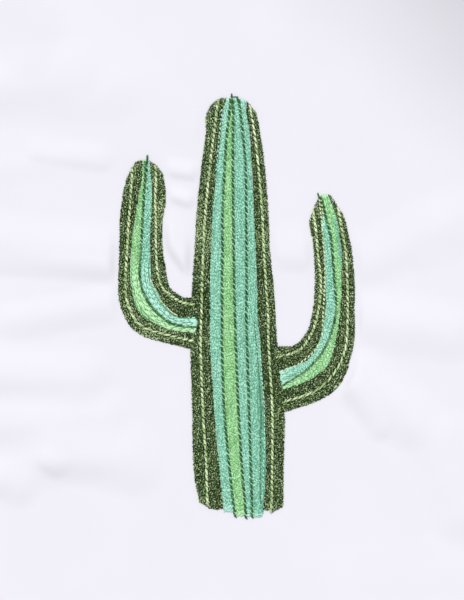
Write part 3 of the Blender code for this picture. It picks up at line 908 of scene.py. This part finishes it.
def line_of_stitches(limb, seam, thread):
    """A line along a seam. A dark one turns solid, and each rises where its limb laps over."""
    sewing = Sewing()
    course = limb.course()
    shown = course[limb.room(limb.offsets(seam, course), course) > 0]
    dark = thread == "deep_green"
    crest = LINE_CREST - DARK_LINE_DROP * dark

    def offsets_of(places):
        return limb.offsets(seam, places) + DARK_LINE_SHIFT * dark

    last = shown[-1]
    lap = min(last, limb.length - LAP_START) if limb.lap > 0 else last
    turning = SOLID_FROM.get(limb.name, last) if dark else lap
    bright = TIP_BRIGHTENING.get(f"{limb.name}_{seam}", 0.0)
    sew_line(sewing, limb, offsets_of, shown[0], BRIGHT_TO, thread, crest, bright)
    sew_line(sewing, limb, offsets_of, BRIGHT_TO, turning, thread, crest)
    sew_line(sewing, limb, offsets_of, turning, lap, "solid", crest)
    sew_line(sewing, limb, offsets_of, lap, last, "solid" if dark else thread, crest + LAP_RISE,
             foot=STITCH_FOOT + LAP_RISE)
    return sewing


def no_offset(places):
    return np.zeros(len(places))


def loose_row(name, thread, style, crest, paler, points):
    sewing = Sewing()
    path = Path(points)
    sew_line(sewing, path, no_offset, 0.0, path.length, style, crest, paler)
    make_piece(name, *sewing.arrays(), thread)


def sew_limb(limb):
    for name, first, second, thread in limb.runs:
        sewing = fill_run(limb, name, first, second, thread)
        for seam, outward in ((first, -1), (second, 1)):
            if seam.endswith("edge"):
                fuzz(sewing, limb, seam, outward, thread)
        points, faces, marks, shades = sewing.arrays()
        under, under_faces = bed(limb, name, first, second)
        faces += [tuple(v + len(points) for v in face) for face in under_faces]
        points = np.vstack([points, under])
        # Painted shade: the padding takes a deep tone, for the shade in the gaps between stitches.
        shades = np.concatenate([shades, np.full(len(under), PAINTED_GAP_SHADE_TONE[thread])])
        marks = np.vstack([marks, np.zeros((sum(map(len, under_faces)), 2))])
        node = f"{limb.name}_{name}"
        make_piece(f"{node}_stitches", points, faces, marks, shades, thread, node)
    for name, seam, thread in limb.lines:
        node = f"{limb.name}_{name}"
        make_piece(f"{node}_stitches", *line_of_stitches(limb, seam, thread).arrays(), thread, node)


def thread_end(name, *strands):
    sewing = Sewing()
    for start, end in strands:
        sewing.stitch(start, end, **END_STRAND)
    make_piece(f"{name}s", *sewing.arrays(), "deep_green", name)


# The cloth

def outline_samples():
    """Points along the middles of the limbs, and the half width at each."""
    points, halves = [], []
    for limb in LIMBS:
        found = limb.read(np.arange(0.0, limb.length, LIMB_SAMPLE_STEP))
        points.append(found[:, :2])
        halves.append(found[:, 2] / 2)
    return np.vstack(points), np.concatenate(halves)


def fold_heights(spots):
    """How far the cloth is lifted off the table at each spot."""
    total = np.zeros(len(spots))
    for start, end, left, right, height in FOLDS:
        start, along = np.array(start, float), np.subtract(end, start).astype(float)
        share = np.clip((spots - start) @ along / (along @ along), 0, 1)
        away = spots - start - share[:, None] * along
        off = np.linalg.norm(away, axis=1)
        side = along[0] * away[:, 1] - along[1] * away[:, 0]
        side /= np.linalg.norm(along) * np.maximum(off, 1e-6)
        reach = (left + right) / 2 + (left - right) / 2 * side
        total += height * (0.5 + 0.5 * np.cos(np.pi * np.minimum(off / reach, 1)))
    middles, halves = outline_samples()
    gap = np.full(len(spots), np.inf)
    for middle, half in zip(middles, halves):
        gap = np.minimum(gap, np.linalg.norm(spots - middle, axis=1) - half)
    free = np.clip((gap - FLAT_MARGIN) / FOLD_RISE, 0, 1)
    return total * free * free * (3 - 2 * free)


def make_cloth():
    deselect_all()
    columns, rows = round(PANEL[0] / CLOTH_STEP), round(PANEL[1] / CLOTH_STEP)
    bpy.ops.mesh.primitive_grid_add(x_subdivisions=columns, y_subdivisions=rows, size=1)
    cloth = bpy.context.object
    cloth.name = cloth.data.name = "cotton_cloth"
    mesh = cloth.data
    places = np.zeros(len(mesh.vertices) * 3)
    mesh.vertices.foreach_get("co", places)
    places = places.reshape(-1, 3) * (*PANEL, 0)
    places[:, 2] = CLOTH_TOP - CLOTH_THICKNESS + fold_heights(places[:, :2])
    mesh.vertices.foreach_set("co", (places * MM).ravel())
    mesh.shade_smooth()
    thickness = cloth.modifiers.new("thickness", "SOLIDIFY")
    thickness.thickness = CLOTH_THICKNESS * MM
    thickness.offset = 1.0
    bpy.ops.object.modifier_apply(modifier="thickness")
    mesh.materials.clear()
    mesh.materials.append(THREADS["white"])
    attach(cloth, "root")
    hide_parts("cloth_panel")
    return cloth


def make_fray():
    """Short yarn ends that the cut edge lets go, all round the panel."""
    sewing = Sewing()
    half = np.array(PANEL) / 2
    for outward in ((1, 0), (0, 1), (-1, 0), (0, -1)):
        out = np.array(outward, float)
        along = np.array([-out[1], out[0]])
        reach = abs(float(half @ along))
        edge = out * abs(float(half @ out))
        place = -reach + YARN_CORNER_GAP
        while place < reach - YARN_CORNER_GAP:
            start = edge + along * place - out * YARN_ROOT
            end = edge + along * (place + rng.normal(0, YARN_LEAN)) + out * rng.uniform(*YARN_ENDS)
            level = CLOTH_TOP - YARN_DROP + float(fold_heights(start[None])[0])
            sewing.stitch(start, end, level + YARN_RADIUS, YARN_RADIUS, foot=level)
            place += rng.uniform(*YARN_STEP)
    return make_piece("cut_edge_fray", *sewing.arrays(), "white")


def sew_underside():
    """Rows of white thread under each fill, where the stitches lock beneath the cloth."""
    sewing = Sewing()
    underside = CLOTH_TOP - CLOTH_THICKNESS
    for limb in LIMBS:
        course = limb.course()
        a, b = limb.offsets(limb.seams[0], course), limb.offsets(limb.seams[-1], course)
        widest = float(max(-a.min(), b.max()))
        for offset in np.arange(-widest, widest, UNDER_SPACING):
            room = limb.room(np.full(len(course), offset), course)
            inside = (offset > a + UNDER_EDGE_GAP) & (offset < b - UNDER_EDGE_GAP)
            inside &= (room > UNDER_END_GAP) & (course < limb.length - UNDER_FOOT_GAP)
            for i, j in stretches(inside):
                if course[j] - course[i] < UNDER_SHORTEST_ROW:
                    continue
                holes = needle_places(course[i], course[j], lambda place: UNDER_STITCH)
                drift = rng.uniform(-UNDER_DRIFT, UNDER_DRIFT, len(holes))
                spots = limb.points(offset + drift, holes)
                for start, end in zip(spots[:-1], spots[1:]):
                    sewing.stitch(start, end, 2 * UNDER_RADIUS, UNDER_RADIUS, foot=underside)
    return make_piece("underside_stitches", *sewing.arrays(), "white")


# The table, the lamp and the camera

def make_stage():
    deselect_all()
    bpy.ops.mesh.primitive_plane_add(size=TABLE_SIZE, location=(0, 0, 0))
    table = bpy.context.object
    table.name = "table_top"
    bpy.ops.object.transform_apply(location=True, rotation=True, scale=True)
    material, _, shader = new_material("pale_table", 0.6)
    shader.inputs["Base Color"].default_value = (0.80, 0.80, 0.82, 1)
    table.data.materials.append(material)


def make_lamp():
    """A soft, far lamp that looks at the middle of the panel."""
    light = bpy.data.lights.new("main_lamp", "SUN")
    light.angle = LAMP_SPREAD
    light.energy = LAMP_STRENGTH
    obj = bpy.data.objects.new("main_lamp", light)
    obj.location = LAMP_PLACE
    direction = -obj.location
    obj.rotation_euler = direction.to_track_quat("-Z", "Y").to_euler()
    bpy.context.scene.collection.objects.link(obj)


def make_room_and_camera():
    scene = bpy.context.scene
    world = bpy.data.worlds.new("soft_room")
    world.use_nodes = True
    world.node_tree.nodes["Background"].inputs["Color"].default_value = (1, 1, 1, 1)
    world.node_tree.nodes["Background"].inputs["Strength"].default_value = ROOM_STRENGTH
    scene.world = world
    scene.view_settings.view_transform = "Standard"
    camera = bpy.data.cameras.new("camera")
    camera.lens = camera.sensor_width * CAMERA_DISTANCE / CAMERA_VIEW
    obj = bpy.data.objects.new("camera", camera)
    x, y, z = CAMERA_TARGET
    obj.location = (x * MM, y * MM, (z + CAMERA_DISTANCE) * MM)
    scene.collection.objects.link(obj)
    scene.camera = obj


cloth = make_cloth()
edging = [make_fray(), sew_underside()]
for limb in LIMBS:
    sew_limb(limb)
for row in LOOSE_ROWS:
    loose_row(*row)
for end in THREAD_ENDS:
    thread_end(*end)
make_stage()
make_lamp()
make_room_and_camera()
